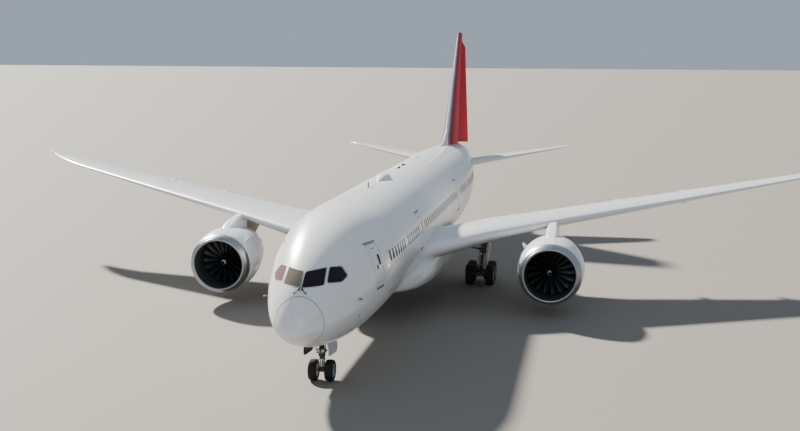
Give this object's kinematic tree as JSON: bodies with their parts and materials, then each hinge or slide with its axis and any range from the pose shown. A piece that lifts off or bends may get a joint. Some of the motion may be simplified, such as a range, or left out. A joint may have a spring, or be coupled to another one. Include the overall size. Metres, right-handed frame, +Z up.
{
  "type": "wide body airliner, half size model",
  "caption": "Twin engined wide body jet airliner on its landing gear, with hinged control surfaces, flaps, spoilers and cargo doors, turning wheels and fans.",
  "frame": {"origin": "on the ground, below the centre of the aircraft's box", "axes": "nose towards -Y, port wing towards +X, +Z up"},
  "size_m": [30.06, 31.3978, 8.51],
  "materials": {
    "white_paint": "gloss",
    "grey_paint": "gloss",
    "red_paint": "gloss",
    "tinted_glass": "gloss",
    "hot_metal": "satin",
    "fan_blades": "satin",
    "gear_metal": "satin",
    "gear_paint": "gloss",
    "tyre": "matte"
  },
  "bodies": {
    "airframe": {"passenger_door_1_left": "white_paint", "passenger_door_1_right": "white_paint", "passenger_door_2_left": "white_paint", "passenger_door_2_right": "white_paint", "passenger_door_3_left": "white_paint", "passenger_door_3_right": "white_paint", "passenger_door_4_left": "white_paint", "passenger_door_4_right": "white_paint", "windshield_left": "tinted_glass", "windshield_right": "tinted_glass", "side_window_left": "tinted_glass", "side_window_right": "tinted_glass", "wing_left": "grey_paint", "wing_right": "grey_paint", "nacelle_left": "white_paint", "nacelle_right": "white_paint", "engine_core_left": "hot_metal", "engine_core_right": "hot_metal", "pylon_left": "white_paint", "pylon_right": "white_paint", "stabilizer_left": "grey_paint", "stabilizer_right": "grey_paint", "fin": "red_paint", "nose_gear_leg": "gear_paint", "nose_gear_door_left": "white_paint", "nose_gear_door_right": "white_paint", "main_gear_leg_left": "gear_paint", "main_gear_leg_right": "gear_paint", "main_truck_left": "gear_metal", "main_truck_right": "gear_metal", "radome": "white_paint", "belly_fairing": "grey_paint", "fuselage_forward": "white_paint", "fuselage_center": "white_paint", "fuselage_aft": "white_paint"},
    "flap_inboard_left": {"flap_inboard_left": "grey_paint"},
    "spoilers_inboard_left": {"spoilers_inboard_left": "grey_paint"},
    "flap_outboard_left": {"flap_outboard_left": "grey_paint"},
    "spoilers_outboard_left": {"spoilers_outboard_left": "grey_paint"},
    "aileron_left": {"aileron_left": "grey_paint"},
    "flaperon_left": {"flaperon_left": "grey_paint"},
    "elevator_left": {"elevator_left": "grey_paint"},
    "fan_left": {"fan_left": "fan_blades"},
    "main_wheels_front_left": {"main_wheels_front_left": "tyre"},
    "main_wheels_rear_left": {"main_wheels_rear_left": "tyre"},
    "flap_inboard_right": {"flap_inboard_right": "grey_paint"},
    "spoilers_inboard_right": {"spoilers_inboard_right": "grey_paint"},
    "flap_outboard_right": {"flap_outboard_right": "grey_paint"},
    "spoilers_outboard_right": {"spoilers_outboard_right": "grey_paint"},
    "aileron_right": {"aileron_right": "grey_paint"},
    "flaperon_right": {"flaperon_right": "grey_paint"},
    "elevator_right": {"elevator_right": "grey_paint"},
    "fan_right": {"fan_right": "fan_blades"},
    "main_wheels_front_right": {"main_wheels_front_right": "tyre"},
    "main_wheels_rear_right": {"main_wheels_rear_right": "tyre"},
    "rudder": {"rudder": "red_paint"},
    "nose_steering": {"nose_gear_steering": "gear_metal"},
    "nose_wheels": {"nose_wheels": "tyre"},
    "cargo_door_forward": {"cargo_door_forward": "white_paint"},
    "cargo_door_aft": {"cargo_door_aft": "white_paint"}
  },
  "joints": [
    {"name": "flap_inboard_left_hinge", "type": "hinge", "parent": "airframe", "child": "flap_inboard_left", "pos_m": [3.19455, -0.26497, 1.70982], "axis": [-0.9742, -0.0574, -0.2182], "range_deg": [0, 30]},
    {"name": "spoilers_inboard_left_hinge", "type": "hinge", "parent": "airframe", "child": "spoilers_inboard_left", "pos_m": [3.68422, -0.82531, 2.38123], "axis": [0.984, 0.0555, 0.1692], "range_deg": [0, 60]},
    {"name": "flap_outboard_left_hinge", "type": "hinge", "parent": "airframe", "child": "flap_outboard_left", "pos_m": [7.91514, 0.99056, 2.5443], "axis": [-0.935, -0.3323, -0.1241], "range_deg": [0, 30]},
    {"name": "spoilers_outboard_left_hinge", "type": "hinge", "parent": "airframe", "child": "spoilers_outboard_left", "pos_m": [7.87189, 0.49075, 2.93697], "axis": [0.9361, 0.3322, 0.1156], "range_deg": [0, 60]},
    {"name": "aileron_left_hinge", "type": "hinge", "parent": "airframe", "child": "aileron_left", "pos_m": [11.3875, 2.56495, 3.27526], "axis": [0.8928, 0.4362, 0.1123], "range_deg": [-20, 25]},
    {"name": "flaperon_left_hinge", "type": "hinge", "parent": "airframe", "child": "flaperon_left", "pos_m": [5.1625, -0.02269, 2.4605], "axis": [0.9377, 0.3218, 0.1311], "range_deg": [-30, 20]},
    {"name": "elevator_left_hinge", "type": "hinge", "parent": "airframe", "child": "elevator_left", "pos_m": [2.7125, 14.09, 3.21664], "axis": [0.9533, 0.2685, 0.1381], "range_deg": [-20, 25]},
    {"name": "fan_left_spin", "type": "hinge", "parent": "airframe", "child": "fan_left", "pos_m": [4.915, -4.79368, 1.30501], "axis": [0, 0.9986, 0.0523], "continuous": true},
    {"name": "main_axle_front_left", "type": "hinge", "parent": "airframe", "child": "main_wheels_front_left", "pos_m": [2.45, -0.665, 0.343], "axis": [1, 0, 0], "continuous": true},
    {"name": "main_axle_rear_left", "type": "hinge", "parent": "airframe", "child": "main_wheels_rear_left", "pos_m": [2.45, 0.09, 0.343], "axis": [1, 0, 0], "continuous": true},
    {"name": "flap_inboard_right_hinge", "type": "hinge", "parent": "airframe", "child": "flap_inboard_right", "pos_m": [-3.19455, -0.26497, 1.70982], "axis": [-0.9742, 0.0574, 0.2182], "range_deg": [0, 30]},
    {"name": "spoilers_inboard_right_hinge", "type": "hinge", "parent": "airframe", "child": "spoilers_inboard_right", "pos_m": [-3.68422, -0.82531, 2.38123], "axis": [0.984, -0.0555, -0.1692], "range_deg": [0, 60]},
    {"name": "flap_outboard_right_hinge", "type": "hinge", "parent": "airframe", "child": "flap_outboard_right", "pos_m": [-7.91514, 0.99056, 2.5443], "axis": [-0.935, 0.3323, 0.1241], "range_deg": [0, 30]},
    {"name": "spoilers_outboard_right_hinge", "type": "hinge", "parent": "airframe", "child": "spoilers_outboard_right", "pos_m": [-7.87189, 0.49075, 2.93697], "axis": [0.9361, -0.3322, -0.1156], "range_deg": [0, 60]},
    {"name": "aileron_right_hinge", "type": "hinge", "parent": "airframe", "child": "aileron_right", "pos_m": [-11.3875, 2.56495, 3.27526], "axis": [0.8928, -0.4362, -0.1123], "range_deg": [-20, 25]},
    {"name": "flaperon_right_hinge", "type": "hinge", "parent": "airframe", "child": "flaperon_right", "pos_m": [-5.1625, -0.02269, 2.4605], "axis": [0.9377, -0.3218, -0.1311], "range_deg": [-30, 20]},
    {"name": "elevator_right_hinge", "type": "hinge", "parent": "airframe", "child": "elevator_right", "pos_m": [-2.7125, 14.09, 3.21664], "axis": [0.9533, -0.2685, -0.1381], "range_deg": [-20, 25]},
    {"name": "fan_right_spin", "type": "hinge", "parent": "airframe", "child": "fan_right", "pos_m": [-4.915, -4.79368, 1.30501], "axis": [0, 0.9986, 0.0523], "continuous": true},
    {"name": "main_axle_front_right", "type": "hinge", "parent": "airframe", "child": "main_wheels_front_right", "pos_m": [-2.45, -0.665, 0.343], "axis": [1, 0, 0], "continuous": true},
    {"name": "main_axle_rear_right", "type": "hinge", "parent": "airframe", "child": "main_wheels_rear_right", "pos_m": [-2.45, 0.09, 0.343], "axis": [1, 0, 0], "continuous": true},
    {"name": "rudder_hinge", "type": "hinge", "parent": "airframe", "child": "rudder", "pos_m": [0, 13.3725, 5.9625], "axis": [0, 0.4158, 0.9095], "range_deg": [-13, 41]},
    {"name": "nose_wheel_steering", "type": "hinge", "parent": "airframe", "child": "nose_steering", "pos_m": [0, -13.2025, 0.5], "axis": [0, 0, 1], "range_deg": [-65, 65]},
    {"name": "nose_axle", "type": "hinge", "parent": "nose_steering", "child": "nose_wheels", "pos_m": [0, -13.2025, 0.254], "axis": [1, 0, 0], "continuous": true},
    {"name": "cargo_door_forward_hinge", "type": "hinge", "parent": "airframe", "child": "cargo_door_forward", "pos_m": [-1.35122, -10.4275, 1.98583], "axis": [-0.011, 0.9999, 0.0101], "range_deg": [0, 120]},
    {"name": "cargo_door_aft_hinge", "type": "hinge", "parent": "airframe", "child": "cargo_door_aft", "pos_m": [-1.32423, 6.1475, 2.0406], "axis": [0.0357, 0.9984, 0.0448], "range_deg": [0, 120]}
  ]
}
